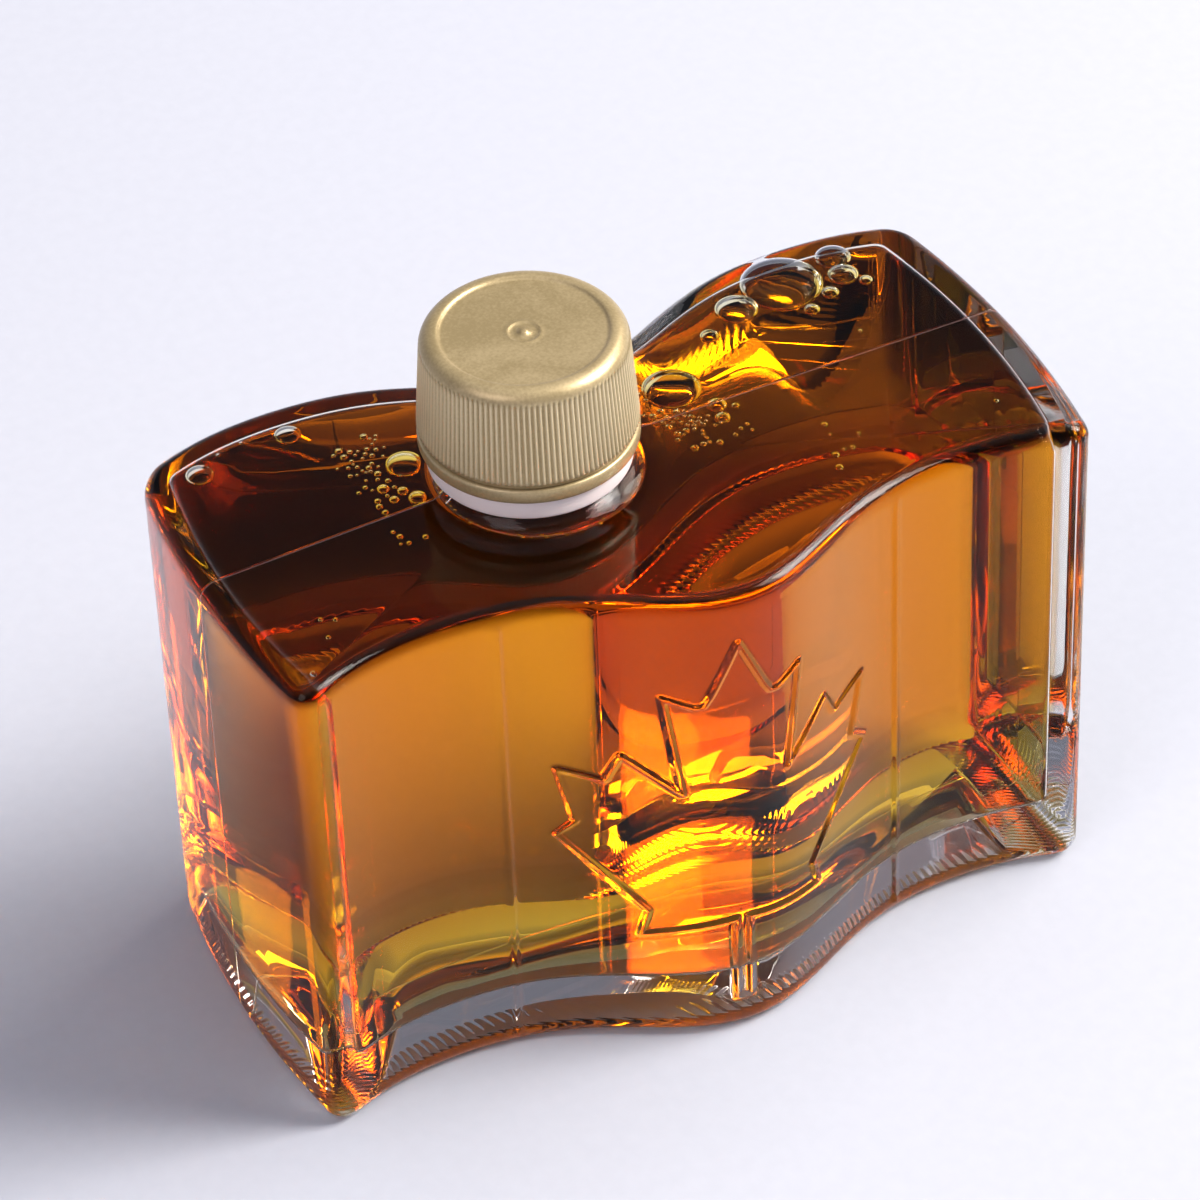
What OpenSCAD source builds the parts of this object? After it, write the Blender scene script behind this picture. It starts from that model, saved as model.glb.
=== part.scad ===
// Waving-flag syrup bottle: thick clear glass, full of maple syrup, shut by a ribbed screw cap.
// Origin: middle of the base's bounding box. X runs along the bottle, -Y is the leaf side, Z is up.

/* [Glass body] */
// Length between the end faces, without their outward bow
body_len = 117; // [90:1:160]
// Depth from the front face to the back face
body_depth = 53.5; // [46:0.5:75]
// Height of the shoulder above the table
shoulder_h = 80; // [60:1:120]
// How far each end face bows outwards in its middle
end_bow = 2.5; // [0:0.1:5]
// Radius of the upright corners
corner_r = 3.5; // [3:0.1:6]
// Radius round the top edge
top_edge_r = 2.6; // [1.5:0.1:3]
// Radius round the base edge
base_edge_r = 3; // [1.5:0.1:3]
// Rise of the shoulder from its edge to the foot of the neck
shoulder_rise = 0.8; // [0:0.1:3]
// Depth of the hollow under the base
push_up = 6; // [0.5:0.5:7]
// Width of the flat rim that the bottle stands on
stand_rim = 5; // [3:0.5:10]
// Width of the slope from that rim up into the hollow
push_slope = 4; // [2:0.5:8]

/* [Wave] */
// Swing of the flag wave to each side
wave_swing = 5.9; // [0:0.1:8]
// Second, finer part of the wave, which tightens its trough
wave_tight = 0.8; // [0:0.1:1.5]
// Length of one full wave
wave_len = 78; // [60:1:110]
// Where the wave's trough lies along the body
wave_mid = 1.7; // [-8:0.1:8]
// Slant of the whole wave
wave_slant = 0.03; // [-0.1:0.01:0.1]

/* [Glass thickness] */
// Front and back walls
wall = 2.6; // [2.2:0.1:5]
// How much thicker the end walls are
end_extra = 1.4; // [0:0.1:3]
// Base
base_thick = 10; // [8:0.5:12]
// Shoulder
shoulder_thick = 3; // [2.5:0.1:5]
// Radius inside the bottom of the cavity
cavity_base_r = 2; // [1:0.5:6]
// Radius inside the top of the cavity
cavity_top_r = 2; // [1:0.5:3]

/* [Neck] */
// Place of the neck along the body
neck_x = -12; // [-25:0.5:25]
// Place of the neck across the body, from the wave's own middle line
neck_y = 2.9; // [-4:0.1:4]
// Radius of the neck above its flare
neck_r = 12.6; // [11:0.1:14]
// Radius of the bore
bore_r = 9.8; // [8:0.1:10.5]
// Radius at the foot of the flare, outside
flare_r = 17.4; // [15:0.1:18.5]
// Radius at the foot of the flare, inside
flare_in_r = 16.4; // [13:0.1:17]
// How far the foot of the flare lies off the neck's axis, along the body
flare_shift = 2.4; // [0:0.1:4]
// Height of the flare above the shoulder
flare_h = 3; // [2:0.1:6]
// Height of the neck ring
ring_h = 3.6; // [2:0.1:6]
// How far the neck ring stands out from the neck
ring_out = 1.4; // [0.6:0.1:1.8]
// Height of the mouth above the neck ring
finish_h = 15.9; // [13:0.1:22]

/* [Raised marks on the front] */
// Width of the leaf's raised line
line_w = 1.1; // [0.8:0.1:2]
// Height of the leaf's raised line above the glass
line_h = 0.45; // [0.3:0.05:0.8]
// Scale of the leaf
leaf_scale = 1; // [0.7:0.05:1.15]
// Height of the leaf's stem end above the table
leaf_z = 6.5; // [5:0.5:12]
// Width of the two upright ribs
rib_w = 1.6; // [1:0.1:3]
// Height of the ribs above the glass
rib_out = 0.5; // [0.3:0.1:1]

/* [Syrup] */
// Level of the syrup above the cavity's upper edge
fill_over = 0.9; // [0.2:0.1:4]
// Clearance all round the syrup
fill_gap = 0.02; // [0.01:0.01:0.1]

/* [Cap] */
// Radius over the ribs at the foot of the skirt
cap_r = 15; // [14.5:0.1:16.5]
// How much the skirt narrows to its top
cap_taper = 0.9; // [0.3:0.1:1.2]
// Thickness of the cap's top
cap_top = 1.6; // [1:0.1:2.5]
// Thickness of the skirt under its ribs
skirt = 1.1; // [0.8:0.1:1.3]
// Radius of the sunk disc in the top
disc_r = 11.4; // [9:0.1:12]
// Depth of the sunk disc
disc_sink = 0.35; // [0.2:0.05:0.6]
// Height of the rounded shoulder of the cap
cap_round = 2.2; // [1.5:0.1:3]
// Number of ribs
rib_count = 120; // [60:12:144]
// Depth of the ribs
knurl = 0.35; // [0.2:0.05:0.5]
// Height of the tamper band
band_h = 2.1; // [1.6:0.1:4]
// Slit between the band and the skirt
band_slit = 0.25; // [0.15:0.05:0.5]
// Running gap between the cap and the glass
cap_gap = 0.2; // [0.1:0.05:0.4]

/* [Hidden] */

// Steps of the skins: along a long side, round a corner, across an end, up a fillet, up the flare
side_steps = 18;
corner_steps = 2;
end_steps = 3;
fillet_steps = 3;
flare_steps = 4;
// Least radius of an upright corner, once the outline is inset
least_corner_r = 1;

ring_z0 = shoulder_h + flare_h;
ring_z1 = ring_z0 + ring_h;
mouth_z = ring_z1 + finish_h;
band_z1 = ring_z1 + band_h;
skirt_z0 = band_z1 + band_slit;
cap_z1 = mouth_z + cap_top;
cap_top_r = cap_r - cap_taper;
finish_r = cap_r - cap_taper - knurl - skirt - cap_gap;
cavity_z0 = base_thick;
cavity_z1 = shoulder_h - shoulder_thick;
fill_z = cavity_z1 + fill_over;
// How deep the raised marks start inside the glass
mark_sink = 0.4;
// Longest straight step of the leaf's line, and its least width at a bend as a share of a full one
line_step = 7;
least_mitre = 0.55;
// How far turned shapes lap the faceted ones, and how deep they start inside them
lap = 0.3;
neck_root = 1.8;
// Share of the way to the bottle's edge that the foot of the flare may reach
foot_reach = 0.98;
// Chamfers of the neck's edges and of the tamper band's
neck_chamfer = 0.5;
band_chamfer = 0.4;
// Cap ribs: half their width at the root and at the crest, how deep they start inside the skirt,
// and how far they stop short of its foot and of its rounded shoulder
rib_root_half = 0.24;
rib_crest_half = 0.1;
rib_sink = 0.3;
rib_foot = 0.6;
rib_head = 0.4;
// Width of the lip round the sunk disc
lip = 0.5;

// Sideways swing of the body at x, and the shift that puts the origin midway between front and back
function swing(x) =
    let (t = 360 * (x - wave_mid) / wave_len)
    -wave_swing * cos(t) - wave_tight * cos(2 * t) - wave_slant * x;
swings = [for (x = [-body_len / 2:0.25:body_len / 2]) swing(x)];
mid_y = (min(swings) + max(swings) - line_h) / 2;
neck_mid_y = neck_y - mid_y;
function wave(x) = swing(x) - mid_y;

// Outline of the straight block, inset by d and by e more at its ends, counter-clockwise from the
// front left
function corner(cx, cy, r, from) =
    [for (i = [0:corner_steps]) let (a = from + 90 * i / corner_steps)
        [cx + r * cos(a), cy + r * sin(a)]];
function block(d, e) =
    let (hx = body_len / 2 - d - e, hy = body_depth / 2 - d, r = max(corner_r - d, least_corner_r))
    concat(
        [for (i = [1:side_steps - 1]) [-(hx - r) + 2 * (hx - r) * i / side_steps, -hy]],
        corner(hx - r, -(hy - r), r, -90),
        [for (i = [1:end_steps - 1]) [hx, -(hy - r) + 2 * (hy - r) * i / end_steps]],
        corner(hx - r, hy - r, r, 0),
        [for (i = [1:side_steps - 1]) [(hx - r) - 2 * (hx - r) * i / side_steps, hy]],
        corner(-(hx - r), hy - r, r, 90),
        [for (i = [1:end_steps - 1]) [-hx, (hy - r) - 2 * (hy - r) * i / end_steps]],
        corner(-(hx - r), -(hy - r), r, 180));

// The same outline with bowed ends, bent to the wave, at height z
function outline(d, z, e = 0) =
    let (hx = body_len / 2 - d - e, hy = body_depth / 2 - d)
    [for (p = block(d, e))
        [p[0] * (1 + end_bow / hx * (1 - pow(p[1] / hy, 2))), p[1] + wave(p[0]), z]];

// Foot of the flare in one direction: its radius, drawn in where the edge at distance l is near
function foot(r, l) = pow(pow(r, -8) + pow(l, -8), -1 / 8);

// Rings up the concave flare, from its foot to the neck, each matched point for point to the
// outline inset by d, by its direction from the middle of the foot
function flare(d, foot_r, top_r, z0, z1, e = 0) =
    [for (i = [0:flare_steps]) let (a = 90 * i / flare_steps, shift = flare_shift * (1 - sin(a)))
        [for (p = outline(d, 0, e))
            let (v = [p[0] - neck_x - flare_shift, p[1] - neck_mid_y], l = norm(v),
                r = foot(foot_r, foot_reach * l) * (1 - sin(a)) + top_r * sin(a))
            [neck_x + shift + r * v[0] / l, neck_mid_y + r * v[1] / l,
                z0 + (z1 - z0) * (1 - cos(a))]]];

// Rings round the base edge and the top edge
function base_rings(d, r, z, e = 0) =
    [for (i = [0:fillet_steps]) let (a = 90 * i / fillet_steps)
        outline(d + r * (1 - sin(a)), z + r * (1 - cos(a)), e)];
function top_rings(d, r, z, e = 0) =
    [for (i = [0:fillet_steps]) let (a = 90 * i / fillet_steps)
        outline(d + r * (1 - cos(a)), z - r * (1 - sin(a)), e)];

// Closed skin over a stack of rings with as many points each
module skin(rings) {
    n = len(rings[0]);
    m = len(rings);
    points = [for (ring = rings) for (p = ring) p];
    sides = [for (k = [0:m - 2]) for (i = [0:n - 1])
        let (a = k * n + i, b = k * n + (i + 1) % n)
        each [[a, a + n, b + n], [a, b + n, b]]];
    bottom = [[for (i = [0:n - 1]) i]];
    top = [[for (i = [n - 1:-1:0]) (m - 1) * n + i]];
    polyhedron(points, concat(sides, bottom, top), convexity = 8);
}

// Half of the leaf's outline, from its tip down to the stem, with the stem's end at z 0
leaf_half = [
    [0, 65.5], [3.7, 57], [4.7, 55.2], [6, 55], [9.8, 57], [7.6, 39.5], [14.8, 46.7], [16.8, 42.3],
    [22.6, 44.9], [20.5, 35.1], [23, 33], [12.2, 18], [13.2, 13.5], [1, 15.2], [1, 0]];
leaf_line = concat(leaf_half,
    [for (i = [len(leaf_half) - 1:-1:1]) [-leaf_half[i][0], leaf_half[i][1]]]);

// A closed line cut into short steps, so that it can follow the wave
function stepped(line) =
    [for (i = [0:len(line) - 1])
        let (a = line[i], b = line[(i + 1) % len(line)], n = max(1, round(norm(b - a) / line_step)))
        for (k = [0:n - 1]) a + (b - a) * k / n];

// Sideways direction of the line at point i, lengthened at a bend to keep its width
function mitre(line, i) =
    let (n = len(line),
        u = (line[i] - line[(i + n - 1) % n]) / norm(line[i] - line[(i + n - 1) % n]),
        v = (line[(i + 1) % n] - line[i]) / norm(line[(i + 1) % n] - line[i]),
        s = [-(u[1] + v[1]), u[0] + v[0]],
        half = norm(s) / 2)
    s / norm(s) / max(half, least_mitre);

// Raised half-round line on the front face
module leaf() {
    line = [for (p = stepped(leaf_line)) p * leaf_scale];
    section = concat([[-0.5, -mark_sink]],
        [for (a = [180:-45:0]) [cos(a) / 2, line_h * sin(a)]], [[0.5, -mark_sink]]);
    n = len(line);
    m = len(section);
    points = [for (i = [0:n - 1]) for (s = section)
        let (p = line[i] + mitre(line, i) * s[0] * line_w, x = p[0])
        [x, wave(x) - body_depth / 2 - s[1], p[1] + leaf_z]];
    faces = [for (i = [0:n - 1]) for (k = [0:m - 1])
        let (a = i * m + k, b = i * m + (k + 1) % m, c = ((i + 1) % n) * m + (k + 1) % m,
            d = ((i + 1) % n) * m + k)
        each [[a, b, c], [a, c, d]]];
    polyhedron(points, faces, convexity = 12);
}

// Upright rib on the front face
module rib(x) {
    z0 = base_edge_r;
    z1 = shoulder_h - top_edge_r;
    translate([x, wave(x) - body_depth / 2 + mark_sink, z0])
        linear_extrude(z1 - z0)
            polygon([[-rib_w / 2, -mark_sink], [-rib_w / 5, -mark_sink - rib_out],
                [rib_w / 5, -mark_sink - rib_out], [rib_w / 2, -mark_sink], [rib_w / 2, mark_sink],
                [-rib_w / 2, mark_sink]]);
}

// Outside of the neck from inside the flare up to the mouth, turned about its axis
module neck() {
    ring_r = neck_r + ring_out;
    translate([neck_x, neck_mid_y, 0])
        rotate_extrude($fn = 96)
            polygon([[0, ring_z0 - neck_root], [neck_r, ring_z0 - neck_root], [neck_r, ring_z0],
                [ring_r - neck_chamfer, ring_z0], [ring_r, ring_z0 + neck_chamfer],
                [ring_r, ring_z1 - neck_chamfer], [ring_r - neck_chamfer, ring_z1], [finish_r, ring_z1],
                [finish_r, mouth_z - neck_chamfer], [finish_r - neck_chamfer, mouth_z], [0, mouth_z]]);
}

module bottle() {
    color([0.86, 0.92, 0.88, 0.35])
    difference() {
        union() {
            skin(concat(
                [outline(base_edge_r + stand_rim + push_slope, push_up),
                    outline(base_edge_r + stand_rim, 0)],
                base_rings(0, base_edge_r, 0),
                top_rings(0, top_edge_r, shoulder_h),
                flare(top_edge_r, flare_r, neck_r + lap, shoulder_h + shoulder_rise,
                    ring_z0 + lap)));
            neck();
            leaf();
            for (side = [-1, 1]) rib(side * body_len / 4);
        }
        skin(concat(
            base_rings(wall, cavity_base_r, cavity_z0, end_extra),
            top_rings(wall, cavity_top_r, cavity_z1, end_extra),
            flare(wall + cavity_top_r, flare_in_r, bore_r + lap, cavity_z1 + shoulder_rise,
                ring_z0, end_extra)));
        translate([neck_x, neck_mid_y, ring_z0 - neck_root])
            cylinder(r = bore_r, h = mouth_z, $fn = 96);
    }
}

// Filling of the cavity, up to a level surface inside the flare
module syrup() {
    color([0.62, 0.24, 0.05])
    intersection() {
        skin(concat(
            base_rings(wall + fill_gap, cavity_base_r, cavity_z0 + fill_gap, end_extra),
            top_rings(wall + fill_gap, cavity_top_r, cavity_z1 - fill_gap, end_extra),
            flare(wall + cavity_top_r + fill_gap, flare_in_r - fill_gap, bore_r + lap,
                cavity_z1 + shoulder_rise - fill_gap, ring_z0, end_extra)));
        translate([-body_len, -body_len, 0])
            cube([2 * body_len, 2 * body_len, fill_z]);
    }
}

module cap() {
    inner_r = finish_r + cap_gap;
    z_round = cap_z1 - cap_round;
    lip_r = disc_r + lip;
    rib_h = z_round - skirt_z0 - rib_foot - rib_head;
    tilt = atan(cap_taper / (z_round - skirt_z0));
    color([0.72, 0.62, 0.38])
    translate([neck_x, neck_mid_y, 0]) {
        rotate_extrude($fn = 120)
            polygon(concat(
                [[0, mouth_z], [inner_r, mouth_z], [inner_r, skirt_z0],
                    [cap_r - knurl, skirt_z0], [cap_top_r - knurl, z_round]],
                [for (a = [15:15:90]) [lip_r + (cap_top_r - knurl - lip_r) * cos(a),
                    z_round + cap_round * sin(a)]],
                [[disc_r, cap_z1 - disc_sink], [0, cap_z1 - disc_sink]]));
        for (i = [0:rib_count - 1])
            rotate([0, 0, 360 * i / rib_count])
                translate([cap_r - knurl - rib_sink, 0, skirt_z0 + rib_foot])
                    rotate([0, -tilt, 0])
                        linear_extrude(rib_h)
                            polygon([[0, -rib_root_half], [rib_sink, -rib_root_half],
                                [rib_sink + knurl, -rib_crest_half],
                                [rib_sink + knurl, rib_crest_half],
                                [rib_sink, rib_root_half], [0, rib_root_half]]);
    }
}

module tamper_band() {
    color([0.74, 0.63, 0.38])
    translate([neck_x, neck_mid_y, 0])
        rotate_extrude($fn = 120)
            polygon([[finish_r + cap_gap, ring_z1], [cap_r - band_chamfer, ring_z1],
                [cap_r, ring_z1 + band_chamfer], [cap_r, band_z1 - band_chamfer],
                [cap_r - band_chamfer, band_z1], [finish_r + cap_gap, band_z1]]);
}

bottle();
syrup();
cap();
tamper_band();
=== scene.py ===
import math
import random

import bmesh
import bpy
from mathutils import Matrix, Vector


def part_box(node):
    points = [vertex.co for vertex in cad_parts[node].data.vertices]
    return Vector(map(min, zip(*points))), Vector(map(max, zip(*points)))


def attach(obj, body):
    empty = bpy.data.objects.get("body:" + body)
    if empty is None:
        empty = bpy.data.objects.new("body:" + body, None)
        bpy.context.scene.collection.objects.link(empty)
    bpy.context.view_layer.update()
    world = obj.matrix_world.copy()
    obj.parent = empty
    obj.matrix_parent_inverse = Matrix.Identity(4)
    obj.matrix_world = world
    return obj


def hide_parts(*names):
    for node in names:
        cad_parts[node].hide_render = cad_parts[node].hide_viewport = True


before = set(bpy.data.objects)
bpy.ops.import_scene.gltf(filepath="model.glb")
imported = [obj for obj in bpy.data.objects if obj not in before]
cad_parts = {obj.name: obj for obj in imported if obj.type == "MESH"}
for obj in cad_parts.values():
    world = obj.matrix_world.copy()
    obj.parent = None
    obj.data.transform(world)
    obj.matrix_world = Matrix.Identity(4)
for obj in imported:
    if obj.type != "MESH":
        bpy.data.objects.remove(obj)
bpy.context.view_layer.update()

mm = 0.001
scene = bpy.context.scene

# ---------------------------------------------------------------- glass bottle
# One piece of thick clear flint glass, blown in a two-part mould into the shape of a waving flag.
# The leaf's line and the two upright ribs are raised on its front; the neck stands off the middle.
body_len, body_depth = 117 * mm, 53.5 * mm
shoulder_z, shoulder_rise = 80 * mm, 0.8 * mm
end_bow, corner_r = 2.5 * mm, 3.5 * mm
top_edge_r, base_edge_r = 2.6 * mm, 3 * mm
push_up, stand_rim, push_slope = 6 * mm, 5 * mm, 4 * mm
wave_swing, wave_tight, wave_slant = 5.9 * mm, 0.8 * mm, 0.03
wave_len, wave_mid = 78 * mm, 1.7 * mm
mid_y = -0.49 * mm
wall, end_extra, base_thick, shoulder_thick = 2.6 * mm, 1.4 * mm, 10 * mm, 3 * mm
cavity_base_r, cavity_top_r = 2 * mm, 2 * mm
neck_x, neck_y = -12 * mm, 2.9 * mm - mid_y
neck_r, bore_r = 12.6 * mm, 9.8 * mm
flare_r, flare_in_r, flare_shift = 17.4 * mm, 16.4 * mm, 2.4 * mm
ring_z0, ring_z1, ring_out = 83 * mm, 86.6 * mm, 1.4 * mm
mouth_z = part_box("bottle")[1].z
finish_r = 12.45 * mm
foot_reach = 0.98


def wave(x):
    """Sideways swing of the bottle's walls at x."""
    t = math.tau * (x - wave_mid) / wave_len
    return -wave_swing * math.cos(t) - wave_tight * math.cos(2 * t) - wave_slant * x - mid_y


side_steps, end_steps, corner_steps = 90, 24, 6


def block(inset, ends):
    """Outline of the straight block, inset all round and by more at its ends, from the front left."""
    hx, hy = body_len / 2 - inset - ends, body_depth / 2 - inset
    r = max(corner_r - inset, 1 * mm)
    sides = ((-1, -1, side_steps), (1, -1, end_steps), (1, 1, side_steps), (-1, 1, end_steps))
    points = []
    for k, (sx, sy, steps) in enumerate(sides):
        here = Vector((sx * (hx - r), sy * (hy - r)))
        nx, ny = sides[(k + 1) % 4][:2]
        there = Vector((nx * (hx - r), ny * (hy - r)))
        out = Vector((math.sin(k * math.pi / 2), -math.cos(k * math.pi / 2)))
        points += [here.lerp(there, i / steps) + out * r for i in range(1, steps)]
        for i in range(corner_steps + 1):
            a = (k - 1 + i / corner_steps) * math.pi / 2
            points.append(there + r * Vector((math.cos(a), math.sin(a))))
    return points


def outline(inset, z, ends=0):
    """The outline with bowed ends, bent to the wave, at height z."""
    hx, hy = body_len / 2 - inset - ends, body_depth / 2 - inset
    ring = []
    for x, y in block(inset, ends):
        ring.append(Vector((x * (1 + end_bow / hx * (1 - (y / hy) ** 2)), y + wave(x), z)))
    return ring


def fillet(inset, r, z, up, ends=0, steps=8):
    """Outlines that turn the edge at height z: up is 1 from the base, -1 over the top."""
    rings = []
    for i in range(steps + 1):
        a = i / steps * math.pi / 2
        if up > 0:
            rings.append(outline(inset + r * (1 - math.sin(a)), z + r * (1 - math.cos(a)), ends))
        else:
            rings.append(outline(inset + r * (1 - math.cos(a)), z - r * (1 - math.sin(a)), ends))
    return rings


def round_neck(rings_in, profile):
    """Rings round the neck's axis, matched to the outline by direction: (radius, height, shift)."""
    centre = Vector((neck_x + flare_shift, neck_y))
    rings = []
    for radius, z, shift in profile:
        ring = []
        for p in rings_in:
            d = p.xy - centre
            r = radius(foot_reach * d.length) if callable(radius) else radius
            q = Vector((neck_x + shift, neck_y)) + d.normalized() * r
            ring.append(Vector((q.x, q.y, z)))
        rings.append(ring)
    return rings


def flare(edge, foot_r, top_r, z0, z1, steps=12):
    """Rings up the concave flare; its foot draws in where the bottle's edge is near."""
    profile = []
    for i in range(steps + 1):
        s, c = math.sin(i / steps * math.pi / 2), math.cos(i / steps * math.pi / 2)

        def radius(reach, s=s):
            return (foot_r ** -8 + reach ** -8) ** (-1 / 8) * (1 - s) + top_r * s

        profile.append((radius, z0 + (z1 - z0) * (1 - c), flare_shift * (1 - s)))
    return round_neck(edge, profile)


def between(a, b, steps):
    """Rings from a to b, without a and b themselves."""
    return [[p.lerp(q, i / steps) for p, q in zip(a, b)] for i in range(1, steps)]


def loft(bm, rings):
    """Skin over a stack of rings: each ring is the last one extruded and moved to its place."""
    loop = bmesh.ops.create_circle(bm, segments=len(rings[0]), radius=1)["verts"]
    for v, p in zip(loop, rings[0]):
        v.co = p
    first = loop
    for ring in rings[1:]:
        edges = [bm.edges.get((a, b)) for a, b in zip(loop, loop[1:] + loop[:1])]
        made = bmesh.ops.extrude_edge_only(bm, edges=edges)["geom"]
        new = {g for g in made if isinstance(g, bmesh.types.BMVert)}
        above = []
        for v in loop:
            above.append(next(e.other_vert(v) for e in v.link_edges if e.other_vert(v) in new))
        loop = above
        for v, p in zip(loop, ring):
            v.co = p
    return first, loop


def close(bm, loop):
    """Flat face over an open loop."""
    bmesh.ops.contextual_create(
        bm, geom=[bm.edges.get((a, b)) for a, b in zip(loop, loop[1:] + loop[:1])])


def finished(bm, name, materials, outward=True):
    """Mesh object from a bmesh, with its faces turned outward and smooth."""
    if outward:
        bmesh.ops.recalc_face_normals(bm, faces=bm.faces)
    mesh = bpy.data.meshes.new(name)
    bm.to_mesh(mesh)
    bm.free()
    for m in materials:
        mesh.materials.append(m)
    mesh.shade_smooth()
    piece = bpy.data.objects.new(name, mesh)
    scene.collection.objects.link(piece)
    return piece


def shader(name, **inputs):
    """New Principled material with plain values on its own sockets."""
    material = bpy.data.materials.new(name)
    material.use_nodes = True
    principled = material.node_tree.nodes["Principled BSDF"]
    for key, value in inputs.items():
        principled.inputs[key.replace("_", " ")].default_value = value
    return material, material.node_tree.nodes, material.node_tree.links, principled


def add(nodes, kind, **settings):
    """New shader node with its inputs set by name or number."""
    node = nodes.new("ShaderNode" + kind)
    for key, value in settings.items():
        if key in node.inputs:
            node.inputs[key].default_value = value
        elif key.startswith("in_"):
            node.inputs[int(key[3:])].default_value = value
        else:
            setattr(node, key, value)
    return node


def calc(nodes, links, operation, *values):
    """New math node; each value is a number or another node's output."""
    node = add(nodes, "Math", operation=operation)
    for socket, value in zip(node.inputs, values):
        if isinstance(value, (int, float)):
            socket.default_value = value
        else:
            links.new(value, socket)
    return node.outputs[0]


wall_steps, shoulder_steps, edge_steps = 50, 16, 4
top_in = outline(top_edge_r, shoulder_z)
foot = flare(top_in, flare_r, neck_r, shoulder_z + shoulder_rise, ring_z0)
skin = [outline(base_edge_r + stand_rim + push_slope, push_up), outline(base_edge_r + stand_rim, 0)]
skin += fillet(0, base_edge_r, 0, 1)
skin += between(skin[-1], outline(0, shoulder_z - top_edge_r), wall_steps)
skin += fillet(0, top_edge_r, shoulder_z, -1)
skin += between(skin[-1], foot[0], shoulder_steps)
skin += foot
neck_edge = 0.6 * mm
ring_r = neck_r + ring_out
ring_profile = [(neck_r + 0.05 * mm, ring_z0)]
quarter = [i / edge_steps * math.pi / 2 for i in range(edge_steps + 1)]
for a in quarter:
    z = ring_z0 + neck_edge * (1 - math.cos(a))
    ring_profile.append((ring_r - neck_edge * (1 - math.sin(a)), z))
for a in quarter:
    z = ring_z1 - neck_edge * (1 - math.sin(a))
    ring_profile.append((ring_r - neck_edge * (1 - math.cos(a)), z))
ring_profile += [(finish_r, ring_z1), (finish_r, mouth_z - neck_edge), (finish_r - neck_edge, mouth_z)]
ring_profile += [(bore_r + neck_edge, mouth_z), (bore_r, mouth_z - neck_edge)]
skin += round_neck(top_in, [(r, z, 0) for r, z in ring_profile])

# Inside of the glass: wetted by the syrup up to its level, dry above it
cavity_z0, cavity_z1 = base_thick, shoulder_z - shoulder_thick
floor_rim = 6 * mm
fill_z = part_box("syrup")[1].z


def cavity(grow, up_to=None):
    """Rings of the cavity from its floor up into the bore, grown outward a little."""
    inset = wall - grow
    rings = [outline(inset + cavity_base_r + floor_rim, cavity_z0 - grow, end_extra)]
    rings += fillet(inset, cavity_base_r, cavity_z0 - grow, 1, end_extra)
    top_rings = fillet(inset, cavity_top_r, cavity_z1 + grow, -1, end_extra)
    rings += between(rings[-1], top_rings[0], 16)
    rings += top_rings
    foot_z = cavity_z1 + shoulder_rise + grow
    foot = flare(top_rings[-1], flare_in_r + grow, bore_r + grow, foot_z, ring_z0, 24)
    rings += between(rings[-1], foot[0], 12)
    if up_to is None:
        return rings + foot
    for a, b in zip(foot, foot[1:]):
        rings.append(a)
        if b[0].z > up_to:
            rings.append([p.lerp(q, (up_to - a[0].z) / (b[0].z - a[0].z)) for p, q in zip(a, b)])
            break
    return rings


skin += cavity(0)[::-1]
bottle_bm = bmesh.new()
base_loop, floor_loop = loft(bottle_bm, skin)
close(bottle_bm, base_loop)
close(bottle_bm, floor_loop)

leaf_half = [
    (0, 65.5), (3.7, 57), (4.7, 55.2), (6, 55), (9.8, 57), (7.6, 39.5), (14.8, 46.7), (16.8, 42.3),
    (22.6, 44.9), (20.5, 35.1), (23, 33), (12.2, 18), (13.2, 13.5), (1, 15.2), (1, 0)]
leaf_z = 6.5 * mm
leaf_points = [Vector((x * mm, leaf_z + z * mm)) for x, z in leaf_half]
leaf_points += [Vector((-p.x, p.y)) for p in reversed(leaf_points[1:])]
raised = list(zip(leaf_points, leaf_points[1:] + leaf_points[:1]))
rib_x = body_len / 4
for x in (-rib_x, rib_x):
    raised.append((Vector((x, base_edge_r)), Vector((x, shoulder_z - top_edge_r))))
line_half, line_height, line_margin = 0.72 * mm, 0.47 * mm, 0.9 * mm


def line_distance(p):
    """Distance on the front face from p to the nearest raised line."""
    best = 1.0
    for a, b in raised:
        ab = b - a
        t = max(0, min(1, (p - a).dot(ab) / ab.length_squared))
        best = min(best, (p - a - ab * t).length)
    return best


def on_front(v):
    """Whether a vertex lies on the flat of the front face, between its rounded edges."""
    return (abs(v.co.y - wave(v.co.x) + body_depth / 2) < 0.02 * mm
            and base_edge_r - 1e-6 < v.co.z < shoulder_z - top_edge_r + 1e-6)


# The face is cut finer along the lines, first across its tall strips, then both ways
for cuts in (1, 3):
    near = []
    for f in bottle_bm.faces:
        c = f.calc_center_median()
        if len(f.verts) < 12 and all(on_front(v) for v in f.verts):
            if line_distance(Vector((c.x, c.z))) < line_half + line_margin:
                near.append(f)
    edges = list({e for f in near for e in f.edges})
    if cuts == 1:
        edges = [e for e in edges if abs(e.verts[0].co.z - e.verts[1].co.z) > 1 * mm]
    bmesh.ops.subdivide_edges(bottle_bm, edges=edges, cuts=cuts, use_grid_fill=True)
for v in bottle_bm.verts:
    if on_front(v):
        d = line_distance(Vector((v.co.x, v.co.z)))
        bump = 0.5 + 0.5 * math.cos(math.pi * min(d / line_half, 1))
        v.co.y = wave(v.co.x) - body_depth / 2 - line_height * bump

glass, nodes, links, principled = shader(
    "clear_flint_glass", Base_Color=(1.0, 1.0, 1.0, 1), Roughness=0.0, IOR=1.52,
    Transmission_Weight=1.0, Specular_Tint=(0.3, 0.3, 0.3, 1))
coords = add(nodes, "TexCoord")
place = add(nodes, "SeparateXYZ")
links.new(coords.outputs["Object"], place.inputs[0])
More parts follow.
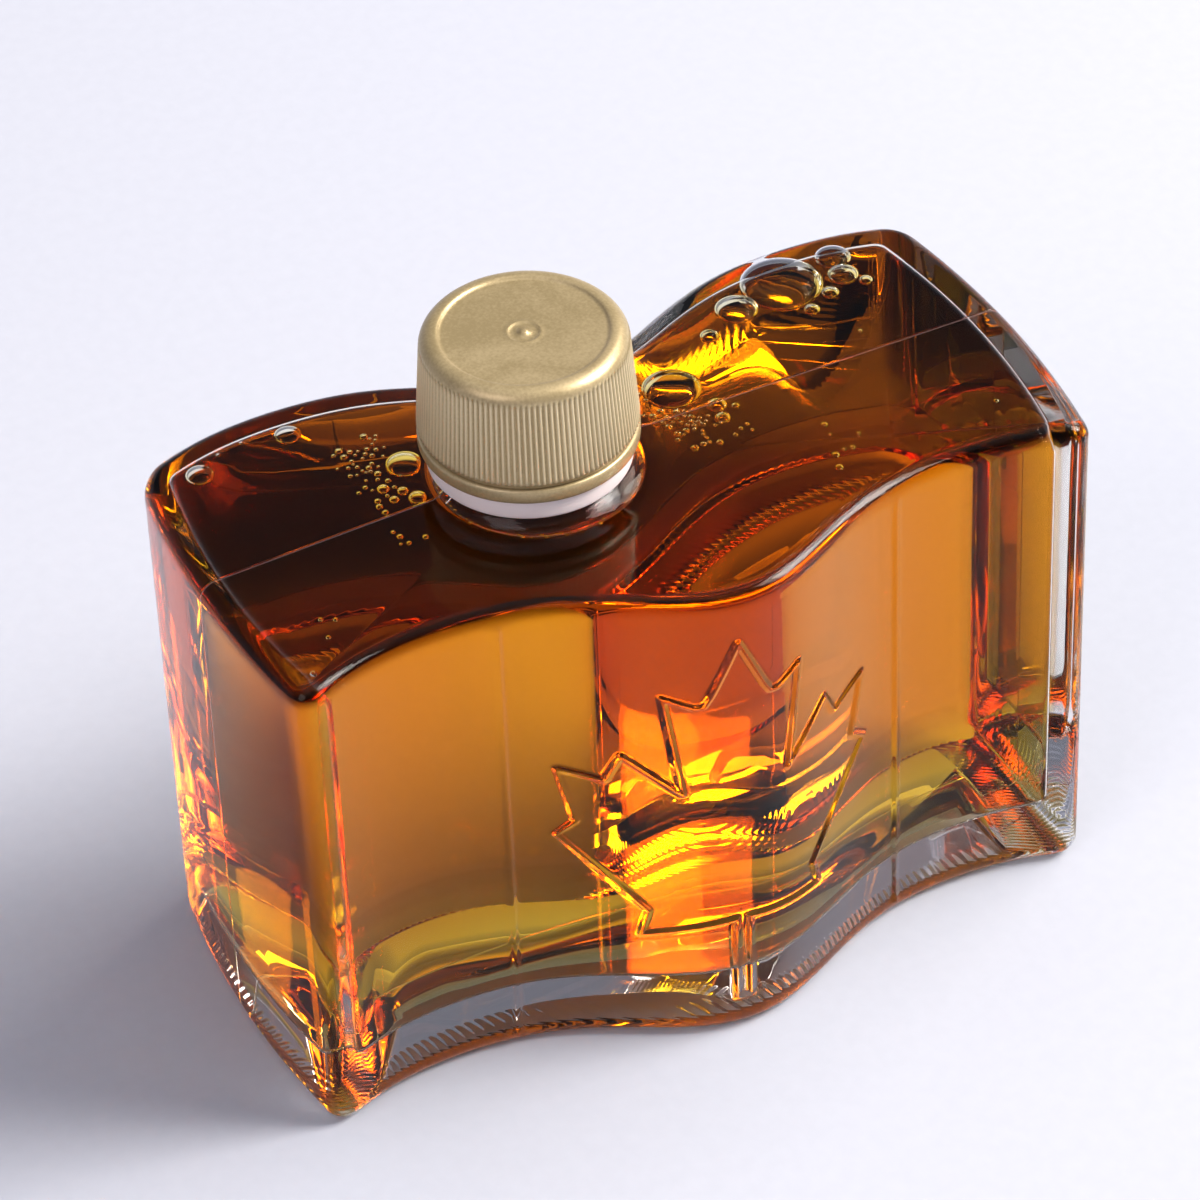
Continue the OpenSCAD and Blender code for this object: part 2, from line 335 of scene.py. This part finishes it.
# Soft unevenness of the blown wall
sway = add(nodes, "TexNoise", Scale=14.0, Detail=3.0)
links.new(coords.outputs["Object"], sway.inputs["Vector"])
relief = calc(nodes, links, "MULTIPLY", sway.outputs["Fac"], 9e-5)
# The two mould halves meet in a very shallow ridge with a fine groove on it, level with the neck
off_seam = calc(nodes, links, "ABSOLUTE", calc(nodes, links, "SUBTRACT", place.outputs["Y"], neck_y))
relief = calc(nodes, links, "MULTIPLY_ADD", off_seam, -0.010, relief)
seam = add(nodes, "MapRange", interpolation_type="SMOOTHSTEP", in_1=0.26 * mm, in_2=0, in_3=0,
           in_4=-0.1 * mm)
links.new(off_seam, seam.inputs["Value"])
relief = calc(nodes, links, "ADD", relief, seam.outputs["Result"])
# Short upright stipple marks round the heel, where the bottle stands
heel = add(nodes, "MapRange", interpolation_type="SMOOTHSTEP", in_1=1.2 * mm, in_2=2.6 * mm,
           in_3=0.012 * mm, in_4=0)
links.new(place.outputs["Z"], heel.inputs["Value"])
along = calc(nodes, links, "ADD", place.outputs["X"], place.outputs["Y"])
marks = calc(nodes, links, "SINE", calc(nodes, links, "MULTIPLY", along, math.tau / (1.5 * mm)))
relief = calc(nodes, links, "MULTIPLY_ADD", marks, heel.outputs["Result"], relief)
bump = add(nodes, "Bump", Strength=1.0, Distance=1.0)
links.new(relief, bump.inputs["Height"])
links.new(bump.outputs["Normal"], principled.inputs["Normal"])

# Glass that the syrup wets on the inside has almost no reflection there
wet_glass, nodes, links, principled = shader(
    "wetted_glass", Base_Color=(1, 1, 1, 1), Roughness=0.0, IOR=1.52, Transmission_Weight=1.0,
    Specular_Tint=(0, 0, 0, 1))

# The neck ring's face is ground to a pale satin. Its light pinkish base colour is partly painted glow: it
# brightens the ring, which lies in the cap's shade, as if warm light reached it through the glass.
ring_glass, nodes, links, principled = shader(
    "satin_ring_glass_painted_glow", Base_Color=(0.97, 0.86, 0.84, 1), IOR=1.52, Transmission_Weight=0.1)
coords = add(nodes, "TexCoord")
grain = add(nodes, "TexNoise", Scale=900.0, Detail=4.0)
links.new(coords.outputs["Object"], grain.inputs["Vector"])
grain_range = add(nodes, "MapRange", in_3=0.35, in_4=0.6)
links.new(grain.outputs["Fac"], grain_range.inputs["Value"])
links.new(grain_range.outputs["Result"], principled.inputs["Roughness"])
bump = add(nodes, "Bump", Strength=0.2, Distance=0.1 * mm)
links.new(grain.outputs["Fac"], bump.inputs["Height"])
links.new(bump.outputs["Normal"], principled.inputs["Normal"])


def inside_glass(p):
    """Whether a point lies on the cavity's wall rather than the outer skin."""
    depth = (body_depth / 2 - abs(p.y - wave(p.x)))
    end = body_len / 2 + end_bow * (1 - ((p.y - wave(p.x)) / (body_depth / 2)) ** 2) - abs(p.x)
    return base_thick * 0.9 < p.z < fill_z + 0.4 * mm and depth > wall * 0.9 and end > wall * 0.9


for f in bottle_bm.faces:
    c = f.calc_center_median()
    if inside_glass(c):
        f.material_index = 1
    elif ring_z0 + 0.1 * mm < c.z < ring_z1 + 0.1 * mm and math.hypot(c.x - neck_x, c.y - neck_y) > neck_r:
        f.material_index = 2
bottle = finished(bottle_bm, "flag_bottle", [glass, wet_glass, ring_glass])
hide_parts("bottle")
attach(bottle, "root")

# ----------------------------------------------------------------------- syrup
# Clear amber maple syrup, filled right up under the shoulder to the foot of the neck.
# It creeps a little way up the glass round its free surface, and air is trapped under the shoulder.
syrup_lap, creep = 0.1 * mm, 0.45 * mm
surface = Vector((neck_x + flare_shift, neck_y, fill_z))
syrup_rings = cavity(syrup_lap, fill_z + creep)
brim = syrup_rings[-1]
for share, height in ((0.985, 0.55), (0.965, 0.25), (0.94, 0.08), (0.90, 0)):
    ring = [surface.lerp(p, share) for p in brim]
    syrup_rings.append([Vector((p.x, p.y, fill_z + creep * height)) for p in ring])
syrup_bm = bmesh.new()
syrup_floor, syrup_top = loft(syrup_bm, syrup_rings)
close(syrup_bm, syrup_floor)
close(syrup_bm, syrup_top)
amber, nodes, links, principled = shader(
    "amber_syrup", Base_Color=(1, 1, 1, 1), Roughness=0.0, IOR=1.46, Transmission_Weight=1.0,
    Specular_Tint=(0, 0, 0, 1))
depth_tint = add(nodes, "VolumeAbsorption", Color=(0.967, 0.825, 0.02, 1), Density=140.0)
links.new(depth_tint.outputs["Volume"], nodes["Material Output"].inputs["Volume"])
coords = add(nodes, "TexCoord")
streaks = add(nodes, "TexNoise", Scale=60.0, Detail=2.0)
links.new(coords.outputs["Object"], streaks.inputs["Vector"])
bump = add(nodes, "Bump", Strength=0.05, Distance=0.5 * mm)
links.new(streaks.outputs["Fac"], bump.inputs["Height"])
links.new(bump.outputs["Normal"], principled.inputs["Normal"])

# Trapped air: flat-topped bubbles pressed up under the shoulder, as (x, y, radius) in millimetres
bubbles = [
    (37.9, 25.0, 5.9), (29.6, 22.7, 3.1), (47.0, 26.6, 2.6), (46.3, 22.4, 2.2), (48.4, 19.6, 1.0),
    (42.7, 19.6, 1.3), (38.6, 17.4, 1.2), (23.4, 19.0, 1.4), (13.5, 11.5, 4.2), (17.2, 5.2, 1.4),
    (16.6, 2.4, 1.1), (-36.7, 28.2, 1.9), (-50.6, 26.4, 2.0), (-25.5, 14.7, 2.6), (-30.3, 11.2, 0.9),
    (-27.0, 7.4, 1.3), (-28.2, 9.5, 0.8), (-30.0, 8.4, 0.7), (-32.1, 9.1, 0.5), (-32.2, 6.5, 0.5),
    (-47.2, -9.7, 0.4), (-48.9, -8.7, 0.4), (-49.5, -12.4, 0.4), (-54.1, -17.7, 0.5),
    (-43.0, 29.4, 0.4), (-46.8, 28.6, 0.4), (42.0, 9.7, 0.4), (50.8, -12.6, 0.4)]
random.seed(7)
patches = [  # foam between these places: (x, y) to (x, y), half width, how many
    (9.5, 8.2, 12.3, -1.6, 2.8, 70), (12.0, 3.0, 16.5, 3.0, 2.2, 30), (9.0, 10.0, 8.0, 16.0, 1.6, 30),
    (-31.8, 20.1, -31.1, 9.0, 2.6, 60), (-27.2, 21.2, -29.0, 12.0, 2.4, 40),
    (-33.6, 3.7, -32.7, -0.7, 0.5, 8), (-32.7, -0.7, -29.0, -0.5, 0.5, 7),
    (-52.4, 27.0, -49.0, 27.5, 1.0, 7), (18.1, 3.2, 29.5, -15.3, 4.5, 12)]
for x0, y0, x1, y1, spread, count in patches:
    for _ in range(count):
        t, off, turn = random.random(), spread * random.random() ** 0.7, random.uniform(0, math.tau)
        spot = (x0 + (x1 - x0) * t + off * math.cos(turn), y0 + (y1 - y0) * t + off * math.sin(turn))
        size = random.uniform(0.25, 0.62)
        if all(math.hypot(spot[0] - b[0], spot[1] - b[1]) > 1.04 * (size + b[2]) for b in bubbles):
            bubbles.append((*spot, size))
bubble_bm = bmesh.new()
for x, y, r in bubbles:
    detail = 4 if r > 1.5 else 3 if r > 0.6 else 2
    shell = bmesh.ops.create_icosphere(bubble_bm, subdivisions=detail, radius=1)
    half = min(r, 0.7 + 0.2 * r)
    power = 2 + min(0.7, r / 8)
    for v in shell["verts"]:
        v.co *= (v.co.xy.length ** power + abs(v.co.z) ** power) ** (-1 / power)
        height = cavity_z1 / mm - 0.06 - half + v.co.z * half
        v.co = Vector((x + v.co.x * r, y + v.co.y * r, height)) * mm

# Froth along the line where the free surface meets the glass
for _ in range(150):
    turn = random.uniform(0, math.tau)
    way = Vector((math.cos(turn), math.sin(turn)))
    edge = max(brim, key=lambda p: (p.xy - surface.xy).normalized().dot(way))
    r = random.uniform(0.16, 0.34) * mm
    share = 1 - (r + random.uniform(0.1, 0.7) * mm) / (edge.xy - surface.xy).length
    place = surface.lerp(edge, share)
    place.z = fill_z - r - 0.05 * mm
    if all((place - v.co).length > 0.3 * mm for v in bubble_bm.verts):
        bmesh.ops.create_icosphere(bubble_bm, subdivisions=2, radius=r, matrix=Matrix.Translation(place))
bmesh.ops.recalc_face_normals(bubble_bm, faces=bubble_bm.faces)
bmesh.ops.reverse_faces(bubble_bm, faces=bubble_bm.faces)
bubble_mesh = bpy.data.meshes.new("trapped_air")
bubble_bm.to_mesh(bubble_mesh)
bubble_bm.free()
bmesh.ops.recalc_face_normals(syrup_bm, faces=syrup_bm.faces)
syrup_bm.from_mesh(bubble_mesh)
bpy.data.meshes.remove(bubble_mesh)
syrup = finished(syrup_bm, "maple_syrup", [amber], outward=False)
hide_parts("syrup")
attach(syrup, "root")

# ------------------------------------------------------------------------- cap
# Screw cap moulded in pearl-gold plastic: a sunk disc with the gate mark in its middle, a rounded
# shoulder and fine upright grip ribs. It sits down over the glass thread.
cap_lo, cap_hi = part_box("cap")
cap_r = (cap_hi.x - cap_lo.x) / 2
cap_top_r = cap_r - 0.9 * mm
cap_ribs, rib_depth = 120, 0.36 * mm
disc_r, disc_sink = 11.4 * mm, 0.35 * mm
disc_z = cap_hi.z - disc_sink
shoulder_drop, collar_height, thread_gap = 2.2 * mm, 0.75 * mm, 0.2 * mm
axis = Vector((neck_x, neck_y, 0))


def turned(profile, steps):
    """Surface of revolution about the neck's axis, from (radius, height) points."""
    bm = bmesh.new()
    verts = [bm.verts.new((neck_x + r, neck_y, z)) for r, z in profile]
    edges = [bm.edges.new(pair) for pair in zip(verts, verts[1:])]
    bmesh.ops.spin(bm, geom=verts + edges, cent=axis, axis=(0, 0, 1), angle=math.tau,
                   steps=steps, use_merge=True)
    bmesh.ops.remove_doubles(bm, verts=bm.verts, dist=0.5e-6)
    return bm


round_z = cap_hi.z - shoulder_drop
collar_z = cap_lo.z + collar_height
profile = [(0, disc_z + 0.34 * mm), (0.35 * mm, disc_z + 0.32 * mm), (0.6 * mm, disc_z + 0.2 * mm),
           (0.75 * mm, disc_z + 0.02 * mm), (1.5 * mm, disc_z - 0.1 * mm), (2.0 * mm, disc_z - 0.08 * mm),
           (2.15 * mm, disc_z + 0.06 * mm), (2.4 * mm, disc_z + 0.07 * mm), (2.6 * mm, disc_z)]
profile += [(3 * mm, disc_z), (6 * mm, disc_z), (9 * mm, disc_z), (10.9 * mm, disc_z)]
profile += [(disc_r - 0.2 * mm, disc_z + 0.03 * mm), (disc_r, disc_z + 0.18 * mm),
            (disc_r + 0.15 * mm, cap_hi.z - 0.03 * mm), (disc_r + 0.5 * mm, cap_hi.z)]
lip_r = disc_r + 0.5 * mm
for i in range(1, 13):
    a = i / 12 * math.pi / 2
    profile.append((lip_r + (cap_top_r - lip_r) * math.sin(a), round_z + shoulder_drop * math.cos(a)))
for i in range(1, 25):
    t = i / 24
    profile.append((cap_top_r + (cap_r - cap_top_r) * t, round_z + (collar_z - round_z) * t))
profile += [(cap_r - 0.25 * mm, collar_z - 0.1 * mm), (cap_r - 0.35 * mm, collar_z - 0.3 * mm),
            (cap_r - 0.35 * mm, cap_lo.z + 0.1 * mm), (cap_r - 0.45 * mm, cap_lo.z)]
inner_r = finish_r + thread_gap
profile += [(inner_r, cap_lo.z), (inner_r, mouth_z), (0, mouth_z)]
cap_bm = turned(profile, cap_ribs * 6)
# Each vertex gets a weight for a painted highlight: full on the rib crests and nothing in the grooves, so
# the grooves stay darker as painted shade.
painted_crest_light = cap_bm.verts.layers.float.new("painted_crest_light")
for v in cap_bm.verts:
    out = v.co.xy - axis.xy
    r = out.length
    if r > inner_r + 0.5 * mm and collar_z - 0.05 * mm < v.co.z < round_z + 0.9 * mm:
        turn = math.atan2(out.y, out.x) * cap_ribs
        groove = (0.5 - 0.5 * math.cos(turn)) ** 1.3
        fade = min(1, max(0, (round_z + 0.75 * mm - v.co.z) / (0.9 * mm)))
        r -= rib_depth * groove * fade
        v.co.xy = axis.xy + out.normalized() * r
        v[painted_crest_light] = (1 - groove) * fade

pearl_gold, nodes, links, principled = shader(
    "pearl_gold_plastic", Metallic=0.45, Coat_Weight=0.25, Coat_Roughness=0.25)
coords = add(nodes, "TexCoord")
flow = add(nodes, "TexNoise", Scale=70.0, Detail=6.0, Distortion=1.2)
flakes = add(nodes, "TexNoise", Scale=2500.0, Detail=1.0)
for texture in (flow, flakes):
    links.new(coords.outputs["Object"], texture.inputs["Vector"])
pearl = calc(nodes, links, "ADD", calc(nodes, links, "MULTIPLY", flow.outputs["Fac"], 0.65),
             calc(nodes, links, "MULTIPLY", flakes.outputs["Fac"], 0.35))
tone = add(nodes, "ValToRGB")
tone.color_ramp.elements[0].position, tone.color_ramp.elements[0].color = 0.38, (0.38, 0.29, 0.145, 1)
tone.color_ramp.elements[1].position, tone.color_ramp.elements[1].color = 0.62, (0.50, 0.39, 0.215, 1)
links.new(pearl, tone.inputs["Fac"])
# Painted highlight: the rib crests are mixed toward a light gold by that weight, and the grooves keep the
# darker gold as painted shade.
crest = add(nodes, "Attribute", attribute_name="painted_crest_light")
crest_mix = add(nodes, "Mix", data_type="RGBA", in_7=(0.84, 0.71, 0.46, 1))
links.new(calc(nodes, links, "MULTIPLY", crest.outputs["Fac"], 0.85), crest_mix.inputs["Factor"])
links.new(tone.outputs["Color"], crest_mix.inputs[6])
links.new(crest_mix.outputs[2], principled.inputs["Base Color"])
sheen = add(nodes, "MapRange", in_3=0.30, in_4=0.48)
links.new(pearl, sheen.inputs["Value"])
links.new(sheen.outputs["Result"], principled.inputs["Roughness"])
bump = add(nodes, "Bump", Strength=0.12, Distance=0.1 * mm)
links.new(flakes.outputs["Fac"], bump.inputs["Height"])
links.new(bump.outputs["Normal"], principled.inputs["Normal"])
cap = finished(cap_bm, "screw_cap", [pearl_gold])
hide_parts("cap")
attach(cap, "root")

# ----------------------------------------------------------------- tamper band
# The ring of the same plastic below the cap's slit, which stays on the neck when the cap is opened.
band_lo, band_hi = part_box("tamper_band")
band_r = (band_hi.x - band_lo.x) / 2
band_profile = [(inner_r, band_lo.z), (band_r - 0.3 * mm, band_lo.z),
                (band_r - 0.06 * mm, band_lo.z + 0.12 * mm), (band_r, band_lo.z + 0.4 * mm),
                (band_r, band_hi.z - 0.5 * mm), (band_r - 0.08 * mm, band_hi.z - 0.2 * mm),
                (band_r - 0.3 * mm, band_hi.z), (inner_r, band_hi.z), (inner_r, band_lo.z)]
band = finished(turned(band_profile, 240), "tamper_evident_band", [pearl_gold])
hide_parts("tamper_band")
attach(band, "root")

# ----------------------------------------------------------- table, light, view
# A seamless pale table under soft light: a broad key with a brighter core from the right, a warm
# light beside it that shines through the syrup, and a weaker fill from the front left.
floor_bm = bmesh.new()
bmesh.ops.create_grid(floor_bm, x_segments=2, y_segments=2, size=3.0)
paper, nodes, links, principled = shader("table_paper", Roughness=0.85)
coords = add(nodes, "TexCoord")
fibre = add(nodes, "TexNoise", Scale=420.0, Detail=5.0)
links.new(coords.outputs["Object"], fibre.inputs["Vector"])
tone = add(nodes, "ValToRGB")
tone.color_ramp.elements[0].position, tone.color_ramp.elements[0].color = 0.3, (0.475, 0.485, 0.535, 1)
tone.color_ramp.elements[1].position, tone.color_ramp.elements[1].color = 0.7, (0.490, 0.500, 0.550, 1)
links.new(fibre.outputs["Fac"], tone.inputs["Fac"])
links.new(tone.outputs["Color"], principled.inputs["Base Color"])
bump = add(nodes, "Bump", Strength=0.1, Distance=0.2 * mm)
links.new(fibre.outputs["Fac"], bump.inputs["Height"])
links.new(bump.outputs["Normal"], principled.inputs["Normal"])
bmesh.ops.translate(floor_bm, verts=floor_bm.verts, vec=(0, 0, -0.03 * mm))
table = finished(floor_bm, "table", [paper])

world = bpy.data.worlds.new("studio")
scene.world = world
world.use_nodes = True
nodes, links = world.node_tree.nodes, world.node_tree.links
coords = add(nodes, "TexCoord")
height = add(nodes, "SeparateXYZ")
links.new(coords.outputs["Generated"], height.inputs[0])
shade = add(nodes, "ValToRGB")
links.new(height.outputs["Z"], shade.inputs["Fac"])
stops = shade.color_ramp.elements
stops[0].color = (0.50, 0.51, 0.62, 1)
stops[1].position, stops[1].color = 0.5, (0.16, 0.165, 0.20, 1)
top_stop = stops.new(0.78)
top_stop.color = (0.16, 0.165, 0.20, 1)
zenith = stops.new(0.93)
zenith.color = (0.75, 0.77, 0.85, 1)
links.new(shade.outputs["Color"], nodes["Background"].inputs["Color"])
nodes["Background"].inputs["Strength"].default_value = 1.0


def direction(azimuth, elevation):
    """Way out from the bottle, given in degrees; azimuth 0 is the leaf side, 90 the right end."""
    a, e = math.radians(azimuth), math.radians(elevation)
    return Vector((math.sin(a) * math.cos(e), -math.cos(a) * math.cos(e), math.sin(e)))


def softbox(name, azimuth, elevation, distance, size, power, tint):
    """Square soft light aimed at the middle of the bottle."""
    aim = Vector((0, 0, 45 * mm))
    way = direction(azimuth, elevation)
    data = bpy.data.lights.new(name, "AREA")
    data.shape = "SQUARE"
    data.size, data.energy, data.color = size, power, tint
    lamp = bpy.data.objects.new(name, data)
    scene.collection.objects.link(lamp)
    lamp.location = aim + way * distance
    lamp.rotation_euler = (-way).to_track_quat("-Z", "Y").to_euler()


softbox("key_light", 69, 43, 2.4, 1.3, 66, (1.0, 0.98, 0.96))
softbox("key_core", 67, 42, 2.35, 0.7, 26, (1.0, 0.97, 0.92))
softbox("side_glow", 106, 42, 2.4, 0.8, 13, (1.0, 0.93, 0.84))
softbox("left_light", -64, 40, 2.4, 1.3, 15, (1.0, 0.92, 0.96))

scene.view_settings.gamma, scene.view_settings.exposure = 0.92, 0.18
camera_data = bpy.data.cameras.new("camera")
camera_data.lens, camera_data.sensor_width = 173.08, 36
camera_data.clip_start, camera_data.clip_end = 0.05, 20
camera = bpy.data.objects.new("camera", camera_data)
scene.collection.objects.link(camera)
distance, aim = 0.79204, Vector((-3.9 * mm, 0.49 * mm, 55.6 * mm))
way = direction(-25.47, 41.09)
look = (-way).to_track_quat("-Z", "Y").to_matrix().to_4x4()
roll = Matrix.Rotation(math.radians(-2.375), 4, "Z")
camera.matrix_world = Matrix.Translation(aim + way * distance) @ look @ roll
scene.camera = camera
scene.view_settings.view_transform = "Standard"
scene.cycles.max_bounces = 16
scene.cycles.transmission_bounces = 16
scene.cycles.glossy_bounces = 10
